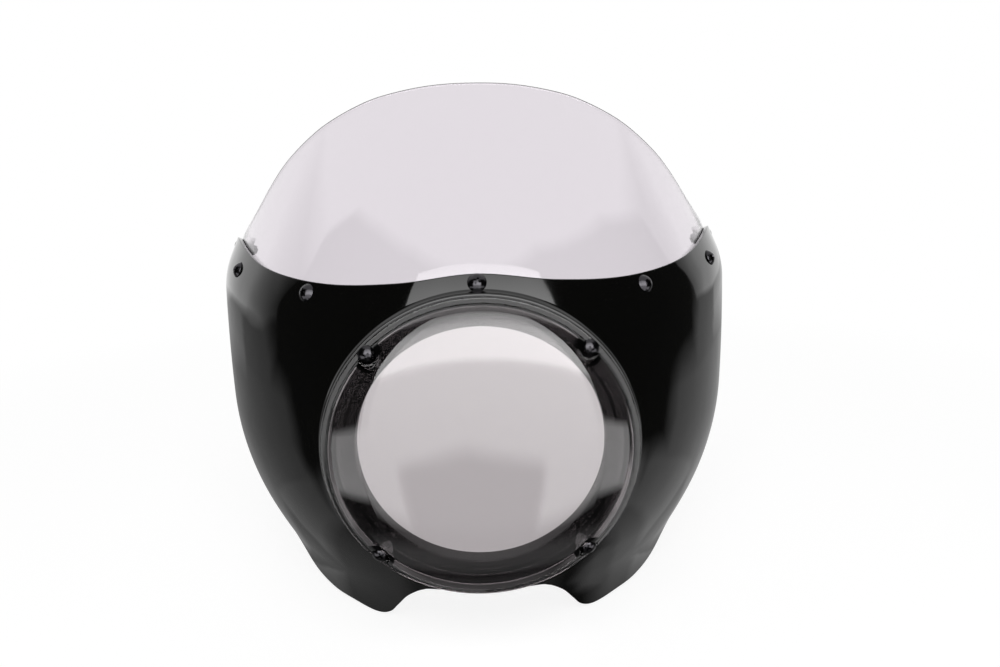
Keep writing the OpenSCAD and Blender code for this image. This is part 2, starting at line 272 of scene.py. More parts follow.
# ABS sheet and collar, moulded and polished: a deep black with mirror-like gloss,
# whose slight sink and orange peel make the edges of reflections waver
def glossBlackAbs():
    sizes = {"sinkWave": 48, "sinkDepth": 0.5, "peelGrain": 2.2, "peelDepth": 0.001, "smear": 38,    # mm
             "dustGrain": 0.55}    # drawn a little coarser than real dust so that it shows
    material, tree = newMaterial("mouldedGlossBlackAbs")
    place = addNode(tree, "ShaderNodeTexCoord")
    sink = addNode(tree, "ShaderNodeTexNoise", {"Scale": 1 / (sizes["sinkWave"] * mm), "Detail": 2.0, "Roughness": 0.5},
                   {"Vector": place.outputs["Object"]})
    peel = addNode(tree, "ShaderNodeTexNoise", {"Scale": 1 / (sizes["peelGrain"] * mm), "Detail": 1.0},
                   {"Vector": place.outputs["Object"]})
    sinkBump = addNode(tree, "ShaderNodeBump", {"Strength": 1.0, "Distance": sizes["sinkDepth"] * mm},
                       {"Height": sink.outputs["Fac"]})
    peelBump = addNode(tree, "ShaderNodeBump", {"Strength": 1.0, "Distance": sizes["peelDepth"] * mm},
                       {"Height": peel.outputs["Fac"], "Normal": sinkBump.outputs[0]})
    dust = addNode(tree, "ShaderNodeTexNoise", {"Scale": 1 / (sizes["dustGrain"] * mm), "Detail": 2.0},
                   {"Vector": place.outputs["Object"]})
    dustMask = addNode(tree, "ShaderNodeMapRange", {"From Min": 0.73, "From Max": 0.80, "To Min": 0.0, "To Max": 0.5},
                       {"Value": dust.outputs["Fac"]})
    colour = addNode(tree, "ShaderNodeMix", {"data_type": "RGBA", 6: hexColour("#060605"), 7: hexColour("#6f6c68")},
                     {0: dustMask.outputs[0]})
    smear = addNode(tree, "ShaderNodeTexNoise", {"Scale": 1 / (sizes["smear"] * mm), "Detail": 4.0, "Roughness": 0.6},
                    {"Vector": place.outputs["Object"]})
    rough = addNode(tree, "ShaderNodeMapRange", {"From Min": 0.35, "From Max": 0.75, "To Min": 0.035, "To Max": 0.085},
                    {"Value": smear.outputs["Fac"]})
    shader = addNode(tree, "ShaderNodeBsdfPrincipled", {"IOR": 1.54},
                     {"Base Color": colour.outputs[2], "Roughness": rough.outputs[0], "Normal": peelBump.outputs[0]})
    finishMaterial(tree, shader)
    return material


# Polycarbonate: clear with a faint cool grey, glass-smooth, and bright only where it mirrors the studio;
# the wave and its depth, in mm, are the slight unevenness that drawing or moulding leaves
def clearPolycarbonate(name, tint, wave, waveDepth, wipe=30):
    material, tree = newMaterial(name)
    place = addNode(tree, "ShaderNodeTexCoord")
    draw = addNode(tree, "ShaderNodeTexNoise", {"Scale": 1 / (wave * mm), "Detail": 1.0},
                   {"Vector": place.outputs["Object"]})
    bump = addNode(tree, "ShaderNodeBump", {"Strength": 1.0, "Distance": waveDepth * mm},
                   {"Height": draw.outputs["Fac"]})
    haze = addNode(tree, "ShaderNodeTexNoise", {"Scale": 1 / (wipe * mm), "Detail": 5.0},
                   {"Vector": place.outputs["Object"]})
    rough = addNode(tree, "ShaderNodeMapRange", {"From Min": 0.4, "From Max": 0.8, "To Min": 0.0, "To Max": 0.012},
                    {"Value": haze.outputs["Fac"]})
    shader = addNode(tree, "ShaderNodeBsdfPrincipled",
                     {"Base Color": hexColour(tint), "IOR": 1.586, "Transmission Weight": 1.0},
                     {"Roughness": rough.outputs[0], "Normal": bump.outputs[0]})
    finishMaterial(tree, shader)
    return material


# Black-oxide steel, cold-headed: near black, with small sharp glints on its crown and recess
def blackOxideSteel():
    sizes = {"grain": 0.6, "grainDepth": 0.01}    # mm
    material, tree = newMaterial("coldHeadedBlackOxideSteel")
    place = addNode(tree, "ShaderNodeTexCoord")
    grain = addNode(tree, "ShaderNodeTexNoise", {"Scale": 1 / (sizes["grain"] * mm), "Detail": 3.0},
                    {"Vector": place.outputs["Object"]})
    bump = addNode(tree, "ShaderNodeBump", {"Strength": 0.4, "Distance": sizes["grainDepth"] * mm},
                   {"Height": grain.outputs["Fac"]})
    rough = addNode(tree, "ShaderNodeMapRange", {"From Min": 0.3, "From Max": 0.7, "To Min": 0.12, "To Max": 0.24},
                    {"Value": grain.outputs["Fac"]})
    shade = addNode(tree, "ShaderNodeMix", {"data_type": "RGBA", 6: hexColour("#2e2d2f"), 7: hexColour("#454447")},
                    {0: grain.outputs["Fac"]})
    shader = addNode(tree, "ShaderNodeBsdfPrincipled", {"Metallic": 1.0},
                     {"Base Color": shade.outputs[2], "Roughness": rough.outputs[0], "Normal": bump.outputs[0]})
    finishMaterial(tree, shader)
    return material


shellFinish = glossBlackAbs()
screenFinish = clearPolycarbonate("drapedClearPolycarbonate", "#e0dae0", 60, 0.25)
lensFinish = clearPolycarbonate("mouldedClearPolycarbonate", "#bab4b6", 35, 0.12)
screwFinish = blackOxideSteel()
print("materials made")


# ---- fairing shell ----

shell = {
    "thickness": 3, "edgeRound": 0.7, "rootFillet": 1.8,
    "topSteps": 84, "tailSteps": 36, "footSteps": 112, "rows": 40,
    "boreRadius": 75, "landRadius": 81, "stepWall": 2.2, "seatRise": 5.5, "seatWall": 3,
    "rimWall": 1.8, "lipWall": 3, "lipLength": 10, "collarRound": 0.7, "segments": 288,
}


def shellOutline():
    tail = np.arange(shell["tailSteps"]) / shell["tailSteps"]
    drop = wall["cornerHeight"] + (wall["tailHeight"] - wall["cornerHeight"]) * tail
    half = np.vstack([
        curveThrough(topKeys, np.arange(shell["topSteps"]) / shell["topSteps"]),
        np.stack([90 - (90 - tailAngle) * (1 - 2 * tail) ** 6, drop], -1),
        curveThrough(lowKeys, np.arange(shell["footSteps"] + 1) / shell["footSteps"]),
    ])
    return np.vstack([half, half[1:-1][::-1] * [-1, 1]])


def makeShell():
    edge = shellOutline()
    around = np.arctan2(edge[:, 1], edge[:, 0] * math.radians(sideWidth))
    ring = wall["collarRadius"] - shell["rimWall"] / 4
    rootZ = ring * np.sin(around)
    root = np.stack([np.degrees(np.arcsin(ring * np.cos(around) / halfWidth(rootZ))), rootZ], -1)
    at = lambda t, depth: wallAt(*np.moveaxis(root + (edge - root) * t[:, None], -1, 0), depth)
    one = np.ones(len(edge))
    nearRoot = np.linalg.norm(at(0.01 * one, 0 * one) - at(0 * one, 0 * one), axis=1) / 0.01
    nearEdge = np.linalg.norm(at(one, 0 * one) - at(0.99 * one, 0 * one), axis=1) / 0.01
    fillet = np.minimum(shell["rootFillet"], 0.5 * nearRoot)
    roundOff = np.minimum(shell["edgeRound"], 0.3 * nearEdge)
    loops, gap = [], shell["rimWall"] / 4
    for k in range(7):    # the fillet where the wall meets the collar's rim
        a = math.pi / 2 * k / 6
        rise = fillet * (1 - math.sin(a))
        points = at((gap + fillet * (1 - math.cos(a))) / nearRoot if k else 0 * one, 0 * one)
        points[:, 1] -= rise
        loops.append(points)
    first, last = (gap + fillet) / nearRoot, 1 - roundOff / nearEdge
    for i in range(1, shell["rows"] + 1):
        u = i / shell["rows"]
        loops.append(at(first + (last - first) * (1 - (1 - u) ** 1.25), 0 * one))
    for side, angles in ((0, range(1, 6)), (1, range(5))):    # the trimmed edge, lightly broken
        for k in angles:
            a = math.pi / 2 * k / 5
            depth = roundOff * (1 - math.cos(a)) if side == 0 else shell["thickness"] - roundOff * (1 - math.sin(a))
            inset = roundOff * (1 - math.sin(a)) if side == 0 else roundOff * (1 - math.cos(a))
            loops.append(at(1 - inset / nearEdge, depth))
    for i in range(shell["rows"], -1, -1):
        u = i / shell["rows"]
        loops.append(at(last * (1 - (1 - u) ** 1.25), shell["thickness"] * one))
    points, cols = np.vstack(loops), len(edge)
    faces = gridFaces(len(loops), cols, loopRows=True, loopCols=True)
    s, c = shell, shell["collarRound"]
    profile = roundedProfile([
        (s["boreRadius"], 0, c), (s["landRadius"], 0, 0.4), (s["landRadius"], -s["seatRise"], c),
        (wall["collarRadius"], -s["seatRise"], 1.0), (wall["collarRadius"], s["thickness"] / 4, 0),
        (wall["collarRadius"] - s["rimWall"], s["thickness"] / 4, 0),
        (wall["collarRadius"] - s["rimWall"], s["seatWall"] - s["seatRise"], 0.5),
        (s["landRadius"] + s["stepWall"], s["seatWall"] - s["seatRise"], 0.6),
        (s["landRadius"] + s["stepWall"], s["lipWall"], c), (s["boreRadius"] + s["lipWall"], s["lipWall"], 0.6),
        (s["boreRadius"] + s["lipWall"], s["lipLength"], c), (s["boreRadius"], s["lipLength"], c),
    ])
    collar = turnedAboutY(profile, s["segments"])
    faces += gridFaces(len(profile), s["segments"], len(points), loopRows=True, loopCols=True)
    return makePiece("fairingShell", np.vstack([points, collar]), faces, shellFinish, "fairing_shell")


fairingShell = makeShell()
print("fairing shell made:", len(fairingShell.data.polygons), "faces")


# ---- windscreen ----

screen = {"depth": 3.5, "thickness": 3, "edgeRound": 0.9, "endAngle": 88, "cols": 220, "rows": 60}


def makeScreen():
    n, m = screen["cols"], screen["rows"]
    reachPerDegree = math.radians(1) * (wall["reach"] + wall["bulge"])

    def patch(inset, depth):    # the whole sheet, drawn in by an inset, at a depth
        end = screen["endAngle"] - inset / reachPerDegree
        angles = end * (2 * np.arange(n + 1) / n - 1)
        low, high = curveHeights(screenLowKeys, angles) + inset, curveHeights(screenTopKeys, angles) - inset
        u = np.arange(m + 1)[:, None] / m
        z = low + (high - low) * u
        return wallAt(angles + 0 * z, z, depth + 0 * z)

    rim = [i * (n + 1) + j for i, j in
           [(0, j) for j in range(n)] + [(i, n) for i in range(m)] +
           [(m, j) for j in range(n, 0, -1)] + [(i, 0) for i in range(m, 0, -1)]]
    r, front = screen["edgeRound"], screen["depth"]
    layers = [(r, front)]
    layers += [(r * (1 - math.sin(a)), front + r * (1 - math.cos(a))) for a in np.radians([18, 36, 54, 72, 90])]
    layers += [(r * (1 - math.cos(a)), front + screen["thickness"] - r * (1 - math.sin(a)))
               for a in np.radians([0, 18, 36, 54, 72])]
    layers += [(r, front + screen["thickness"])]
    frontGrid, backGrid = patch(*layers[0]).reshape(-1, 3), patch(*layers[-1]).reshape(-1, 3)
    points, size = [frontGrid, backGrid], len(frontGrid)
    faces = gridFaces(m + 1, n + 1) + [tuple(reversed(f)) for f in gridFaces(m + 1, n + 1, size)]
    rings = [rim] + [[2 * size + k * len(rim) + q for q in range(len(rim))] for k in range(len(layers) - 2)]
    rings.append([size + v for v in rim])
    for inset, depth in layers[1:-1]:
        points.append(patch(inset, depth).reshape(-1, 3)[rim])
    for a, b in zip(rings, rings[1:]):
        faces += [(a[q], a[(q + 1) % len(rim)], b[(q + 1) % len(rim)], b[q]) for q in range(len(rim))]
    return makePiece("windscreen", np.vstack(points), faces, screenFinish, "windscreen", 60)


windscreen = makeScreen()
print("windscreen made:", len(windscreen.data.polygons), "faces")


# ---- headlight lens ----

lens = {
    "radius": 93.5, "thickness": 3, "flange": 3, "domeHeight": 20, "base": -5.5, "shoulder": 1.0,
    "pocketRadius": 6.2, "holeRadius": 2.75, "cutPast": 40, "screwRadius": 88.2, "segments": 288, "steps": 56,
}


def domeOutline(radius, height, base):    # low crown, round shoulder
    a = np.linspace(math.pi / 2, 0, lens["steps"])
    return [(radius * math.sin(t) ** lens["shoulder"], base - height * math.cos(t)) for t in a]


def cutter(radius, back, front, x, z, segments=48):    # a round bar along Y
    bm = bmesh.new()
    bmesh.ops.create_cone(bm, cap_ends=True, segments=segments, radius1=radius * mm, radius2=radius * mm,
                          depth=(back - front) * mm)
    bmesh.ops.rotate(bm, verts=bm.verts, matrix=Matrix.Rotation(math.pi / 2, 3, "X"))
    bmesh.ops.translate(bm, verts=bm.verts, vec=(x * mm, (back + front) / 2 * mm, z * mm))
    return bm


def addTool(name, build):
    mesh = bpy.data.meshes.new(name)
    build.to_mesh(mesh)
    build.free()
    tool = bpy.data.objects.new(name, mesh)
    scene.collection.objects.link(tool)
    return tool


def combine(piece, tools, operation):    # a boolean with each tool, put into the mesh
    for tool in tools:
        step = piece.modifiers.new("cut", "BOOLEAN")
        step.operation, step.object, step.solver = operation, tool, "EXACT"
    bpy.context.view_layer.update()
    mesh = bpy.data.meshes.new_from_object(piece.evaluated_get(bpy.context.evaluated_depsgraph_get()))
    piece.modifiers.clear()
    piece.data = mesh
    for tool in tools:
        bpy.data.objects.remove(tool)


def turnedTool(name, outline):    # a solid of an open outline, whose first and last points are on the axis
    n, bm = lens["segments"], bmesh.new()
    a = np.linspace(0, 2 * math.pi, n, endpoint=False)
    rings = []
    for r, y in outline:
        if r < 0.01:
            rings.append([bm.verts.new((0, y * mm, 0))])
        else:
            rings.append([bm.verts.new((r * math.cos(t) * mm, y * mm, r * math.sin(t) * mm)) for t in a])
    for p, q in zip(rings, rings[1:]):
        for j in range(n):
            k = (j + 1) % n
            corners = [p[j % len(p)], p[k % len(p)], q[k % len(q)], q[j % len(q)]]
            bm.faces.new(list(dict.fromkeys(corners)))
    bmesh.ops.recalc_face_normals(bm, faces=bm.faces)
    return addTool(name, bm)


def makeLens():
    spots = [(lens["screwRadius"] * math.cos(math.radians(45 + 90 * i)),
              lens["screwRadius"] * math.sin(math.radians(45 + 90 * i))) for i in range(4)]
    front, dome = lens["base"] - lens["thickness"], lens["radius"] - lens["flange"]
    foot = domeOutline(dome, lens["domeHeight"], front)
    flange = roundedProfile([(0, lens["base"], 0), (lens["radius"], lens["base"], 0.5), (lens["radius"], front, 0.8),
                             (dome, front, 0), (0, front, 0)], 4)[1:-1]
    body = turnedTool("lensBody", [(0, lens["base"])] + flange + foot[1:-1] + [(0, front - lens["domeHeight"])])
    pockets = [addTool("pocket", cutter(lens["pocketRadius"], front, front - lens["cutPast"], x, z)) for x, z in spots]
    combine(body, pockets, "DIFFERENCE")
    inner = dome - lens["thickness"]
    hollow = turnedTool("lensHollow", [(0, lens["base"] + 4), (inner, lens["base"] + 4)] +
                        domeOutline(inner, lens["domeHeight"], lens["base"])[:-1] + [(0, lens["base"] - lens["domeHeight"])])
    bossRadius = lens["pocketRadius"] + lens["thickness"]
    bosses = [addTool("boss", cutter(bossRadius, lens["base"] + 6, lens["base"] - lens["cutPast"], x, z)) for x, z in spots]
    combine(hollow, bosses, "DIFFERENCE")
    combine(body, [hollow], "DIFFERENCE")
    holes = [addTool("hole", cutter(lens["holeRadius"], lens["base"] + 5, front - 5, x, z, 32)) for x, z in spots]
    combine(body, holes, "DIFFERENCE")
    finishMesh(body.data, lensFinish, 35)
    body.name = "headlightLens"
    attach(body, "root")
    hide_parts("headlight_lens")
    return body


headlightLens = makeLens()
print("headlight lens made:", len(headlightLens.data.polygons), "faces")


# ---- screws, washers and nuts ----

screw = {
    "headWidth": 11, "headHeight": 3.2, "thread": 5, "pitch": 0.8, "threadDepth": 0.38,
    "recessWidth": 5.2, "recessBar": 1.25, "recessDepth": 1.9, "segments": 64,
    "nutWidth": 8, "nutHeight": 4, "nutChamfer": 0.42, "washerWidth": 9, "washerHeight": 1, "threadOver": 1.5, "boreGap": 0.05,
    "screenStack": 7, "lensStack": 6,
}


def screwMesh(name, stack):
    s = screw
    half, height = s["headWidth"] / 2, s["headHeight"]
    crown = (half ** 2 + height ** 2) / (2 * height)
    tilt = math.asin(half / crown)
    dome = [(crown * math.sin(tilt * k / 14), height - crown + crown * math.cos(tilt * k / 14)) for k in range(13)]
    rim = [(half - 0.12, 0.38), (half, 0.2), (half - 0.1, 0.03), (half - 0.3, 0)]
    shank = stack + s["washerHeight"] + s["nutHeight"] + s["threadOver"]
    n, bm = s["segments"], bmesh.new()
    around, rings = np.linspace(0, 2 * math.pi, n, endpoint=False), []
    for r, z in dome + rim + [(s["thread"] / 2, 0)]:
        rings.append([bm.verts.new((0, 0, z * mm))] if r < 0.01 else
                     [bm.verts.new((r * math.cos(t) * mm, r * math.sin(t) * mm, z * mm)) for t in around])
    plain = 0.6 * stack    # below this the thread starts: a ridge that winds round the shank
    steps = int((shank - plain) / s["pitch"] * 6)
    for k in range(steps + 1):
        z = -plain - (shank - plain) * k / steps
        fade = min(1, k / 6, (steps - k) / 4)
        ring = []
        for j in range(n):
            phase = (z / s["pitch"] + j / n) % 1
            cut = fade * s["threadDepth"] * (1 - abs(2 * phase - 1)) if k else 0
            r = s["thread"] / 2 - cut - (0.5 * max(0, 1 - (steps - k) / 3))
            t = 2 * math.pi * j / n
            ring.append(bm.verts.new((r * math.cos(t) * mm, r * math.sin(t) * mm, z * mm)))
        rings.append(ring)
    for p, q in zip(rings, rings[1:]):
        for j in range(n):
            k = (j + 1) % n
            bm.faces.new(list(dict.fromkeys([p[j % len(p)], p[k % len(p)], q[k % len(q)], q[j % len(q)]])))
    bm.faces.new(rings[-1])
    bmesh.ops.recalc_face_normals(bm, faces=bm.faces)
    body = addTool(name, bm)
    # the cross recess tapers inwards and its arms are blunt
    for turn in (45, 135):
        arm = bmesh.new()
        w, b, d = s["recessWidth"] / 2, s["recessBar"] / 2, s["recessDepth"]
        corners = ((-w, -b), (w, -b), (w, b), (-w, b))
        top = [arm.verts.new((x * mm, y * mm, (height + 0.6) * mm)) for x, y in corners]
        low = [arm.verts.new((0.5 * x * mm, 0.7 * y * mm, (height - d) * mm)) for x, y in corners]
        arm.faces.new(top)
        arm.faces.new(low)
        for j in range(4):
            arm.faces.new([top[j], top[(j + 1) % 4], low[(j + 1) % 4], low[j]])
        bmesh.ops.recalc_face_normals(arm, faces=arm.faces)
        bmesh.ops.rotate(arm, verts=arm.verts, matrix=Matrix.Rotation(math.radians(turn), 3, "Z"))
        combine(body, [addTool("arm", arm)], "DIFFERENCE")
    mesh = body.data
    mesh.name = name
    bpy.data.objects.remove(body)
    return finishMesh(mesh, screwFinish, 32)


def ringMesh(name, profile, sides=64):    # a closed (radius, z) outline turned about Z
    a = np.linspace(0, 2 * math.pi, sides, endpoint=False)
    points = [(r * math.cos(t) * mm, r * math.sin(t) * mm, z * mm) for r, z in profile for t in a]
    mesh = bpy.data.meshes.new(name)
    mesh.from_pydata(points, [], gridFaces(len(profile), sides, loopRows=True, loopCols=True))
    faceOutwards(mesh)
    return finishMesh(mesh, screwFinish, 32)


def washerMesh(stack):
    inner, outer = screw["thread"] / 2 + screw["boreGap"], screw["washerWidth"] / 2
    top, low = -stack, -stack - screw["washerHeight"]
    profile = roundedProfile([(inner, top, 0.1), (outer, top, 0.25), (outer, low, 0.15), (inner, low, 0.1)], 3)
    return ringMesh("washer%g" % stack, profile)


def nutMesh(stack):    # six flats, with the corners turned off at both faces
    s, n = screw, 96
    top, height, chamfer = -stack - s["washerHeight"], s["nutHeight"], s["nutChamfer"]
    inner, flat = s["thread"] / 2 + s["boreGap"], s["nutWidth"] / 2
    angles = np.linspace(0, 2 * math.pi, n, endpoint=False)
    hexR = np.array([flat / math.cos((t + math.pi / 6) % (math.pi / 3) - math.pi / 6) for t in angles])
    corner = flat / math.cos(math.pi / 6)
    rings = []
    for z, limit in ((0, inner), (0, flat * 0.97), (-chamfer, corner), (chamfer - height, corner),
                     (-height, flat * 0.97), (-height, inner)):
        rings.append([(min(r, limit) * math.cos(t) * mm, min(r, limit) * math.sin(t) * mm, (top + z) * mm)
                      for r, t in zip(hexR, angles)])
    mesh = bpy.data.meshes.new("nut%g" % stack)
    mesh.from_pydata([p for ring in rings for p in ring], [], gridFaces(len(rings), n, loopRows=True, loopCols=True))
    faceOutwards(mesh)
    return finishMesh(mesh, screwFinish, 22)


def onWall(angle, z):    # local +Z points out of the wall
    point, n = wallPoint(np.array(angle), np.array(z)), wallNormal(np.array(angle), np.array(z))
    turn = Matrix.Rotation(math.atan2(n[1], n[0]), 4, "Z") @ Matrix.Rotation(math.acos(n[2]), 4, "Y")
    return Matrix.Translation(Vector([float(c) * mm for c in point])) @ turn


def onLens(i):    # local +Z points forward
    a = math.radians(45 + 90 * i)
    spot = Vector((lens["screwRadius"] * math.cos(a), lens["base"] - lens["thickness"], lens["screwRadius"] * math.sin(a))) * mm
    return Matrix.Translation(spot) @ Matrix.Rotation(math.pi / 2, 4, "X")


def placeSmall(name, mesh, place, node, turn):
    own = mesh.copy()
    own.transform(place @ Matrix.Rotation(math.radians(turn), 4, "Z"))
    piece = bpy.data.objects.new(name, own)
    scene.collection.objects.link(piece)
    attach(piece, "root")
    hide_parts(node)


def makeFasteners():
    spots = [[math.copysign(screwHalf[abs(i)][0], i) if i else 0.0, screwHalf[abs(i)][1]] for i in range(-3, 4)]
    turns = [12, 34, 63, 20, 75, 41, 8]    # each screw stopped where it was tight
    lensTurns = [52, 17, 70, 33]
    for kind, stack, places, angles in (("screen", screw["screenStack"], [onWall(*p) for p in spots], turns),
                                        ("lens", screw["lensStack"], [onLens(i) for i in range(4)], lensTurns)):
        meshes = {"screw": screwMesh(kind + "Screw", stack), "washer": washerMesh(stack), "nut": nutMesh(stack)}
        for i, place in enumerate(places):
            for part, mesh in meshes.items():
                placeSmall("%s%s%d" % (kind, part.capitalize(), i + 1), mesh, place, "%s_%s_%d" % (kind, part, i + 1),
                           angles[i] if part != "nut" else angles[i] * 0.7)


makeFasteners()
print("screws, washers and nuts made")


# ---- studio: floor, backdrop, soft lights and camera ----

studio = {
    "floorRadius": 3000, "floorHeight": float(cadBox[0].z / mm),
    # a tall frosted window faces the cowl, with a dark gap low in its middle; levels go by height
    "window": {"left": -1000, "right": 1090, "low": -1400, "high": 2260, "ahead": 1200, "rampFull": 6,
               "gap": {"middle": -80, "half": 460, "soft": 40, "top": -430, "fade": 100, "slope": 0.3, "depth": 0.82},
               "levels": [(-1360, 0), (-1000, 1.8), (-300, 2.1), (170, 2.3), (240, 5.4), (800, 5.6),
                          (1150, 3.9), (1500, 3.7), (2240, 1.9)]},
    "softbox": {"place": (0, -900, 1500), "size": (1400, 1000), "power": 16},
}


def seenStraight(tree):    # 1 for the camera's own rays, also through clear plastic; and 1 for any mirrored ray
    path = addNode(tree, "ShaderNodeLightPath")
    mirrored = addNode(tree, "ShaderNodeMath", {"operation": "GREATER_THAN", 1: 0.5}, {0: path.outputs["Glossy Depth"]})
    through = addNode(tree, "ShaderNodeMath", {"operation": "GREATER_THAN"},
                      {0: path.outputs["Is Transmission Ray"], 1: mirrored.outputs[0]})
    straight = addNode(tree, "ShaderNodeMath", {"operation": "MAXIMUM"}, {0: through.outputs[0], 1: path.outputs["Is Camera Ray"]})
    return straight.outputs[0], mirrored.outputs[0]


# White paper sweep: matt and even, so that only the object's own shadow marks it
def whitePaper():
    material, tree = newMaterial("mattWhitePaper")
    place = addNode(tree, "ShaderNodeTexCoord")
    fibre = addNode(tree, "ShaderNodeTexNoise", {"Scale": 1 / (3 * mm), "Detail": 2.0}, {"Vector": place.outputs["Object"]})
    bump = addNode(tree, "ShaderNodeBump", {"Strength": 0.2, "Distance": 0.00005}, {"Height": fibre.outputs["Fac"]})
    paper = addNode(tree, "ShaderNodeBsdfDiffuse", {"Color": hexColour("#f4f4f4")}, {"Normal": bump.outputs[0]})
    soft = addNode(tree, "ShaderNodeBsdfDiffuse", {"Color": hexColour("#8c8c8c")}, {"Normal": bump.outputs[0]})
    near = addNode(tree, "ShaderNodeEmission", {"Color": (1, 1, 1, 1), "Strength": 0.86})
    far = addNode(tree, "ShaderNodeEmission", {"Color": (1, 1, 1, 1), "Strength": 1.0})
    nearSeen = addNode(tree, "ShaderNodeAddShader", {}, {0: near.outputs[0], 1: soft.outputs[0]})
    distance = addNode(tree, "ShaderNodeVectorMath", {"operation": "LENGTH"}, {0: place.outputs["Object"]})
    fade = addNode(tree, "ShaderNodeMapRange", {"From Min": 0.45, "From Max": 1.0}, {"Value": distance.outputs["Value"]})
    seen = addNode(tree, "ShaderNodeMixShader", {}, {0: fade.outputs[0], 1: nearSeen.outputs[0], 2: far.outputs[0]})
    clear = addNode(tree, "ShaderNodeBsdfTransparent")
    straight, mirrored = seenStraight(tree)
    bounced = addNode(tree, "ShaderNodeMixShader", {}, {0: mirrored, 1: paper.outputs[0], 2: clear.outputs[0]})
    mixed = addNode(tree, "ShaderNodeMixShader", {}, {0: straight, 1: bounced.outputs[0], 2: seen.outputs[0]})
    finishMaterial(tree, mixed)
    return material


def makeFloor():
    mesh = bpy.data.meshes.new("floor")
    h, n = studio["floorRadius"] * mm, 96
    points = [(0, 0, 0)] + [(h * math.cos(2 * math.pi * k / n), h * math.sin(2 * math.pi * k / n), 0) for k in range(n)]
    mesh.from_pydata(points, [], [(0, 1 + k, 1 + (k + 1) % n) for k in range(n)])
    mesh.materials.append(whitePaper())
    floor = bpy.data.objects.new("floor", mesh)
    floor.location.z = studio["floorHeight"] * mm
    scene.collection.objects.link(floor)


# what the gloss mirrors besides the window, by direction in degrees: turn 0 is ahead of the cowl,
# 90 is at its right as the photo shows it; above skyEdge the white room shows, below it is dark
room = {
    "skyEdge": [(-180, -14), (-150, -10), (-126, -6), (-108, -3), (-98, 4), (-95, 36), (-87, 49), (-70, 54), (-45, 58),
                (45, 58), (70, 51), (87, 45), (106, 31), (110, 14), (113, -2), (130, -6), (180, -9)],
    "patches": [    # turn from, to, rise from, to, softness, level; neighbours overlap by twice the softness
        (-185, -102, -18, 30, 5, 0.26), (-185, -124, -17, -1, 5, 0.41), (-185, -94, -39, -8, 5, 0.27),
        (-140, -92, -50, -29, 5, 0.32), (-185, -130, -52, -29, 5, 0.19), (-185, -96, -70, -42, 5, 0.17),
        (113, 185, -19, 12, 4, 0.38), (131, 185, -14, 12, 4, 0.70), (99, 185, -36, -9, 5, 0.42), (88, 142, -49, -26, 5, 0.49),
        (132, 185, -50, -26, 5, 0.34), (87, 152, -57, -39, 5, 0.36), (111, 142, -64, -47, 5, 0.28),
        (-78, -38, -35, -12, 2, 1.9), (40, 76, -36, -12, 2, 2.1), (-60, 62, -65, -50, 3, 0.3), (-200, 200, -100, -68, 4, 0.08),
    ],
    # the sky dims towards both sides, from turn, to turn, lowest level, but not above the high fade
    "leftFade": (-97, -121, 0.1), "rightFade": (110, 122, 0.4), "highFade": (24, 40),
    "dark": 0.03, "fill": 0.22,    # the level of unlit directions, and the plain light on matt surfaces
}


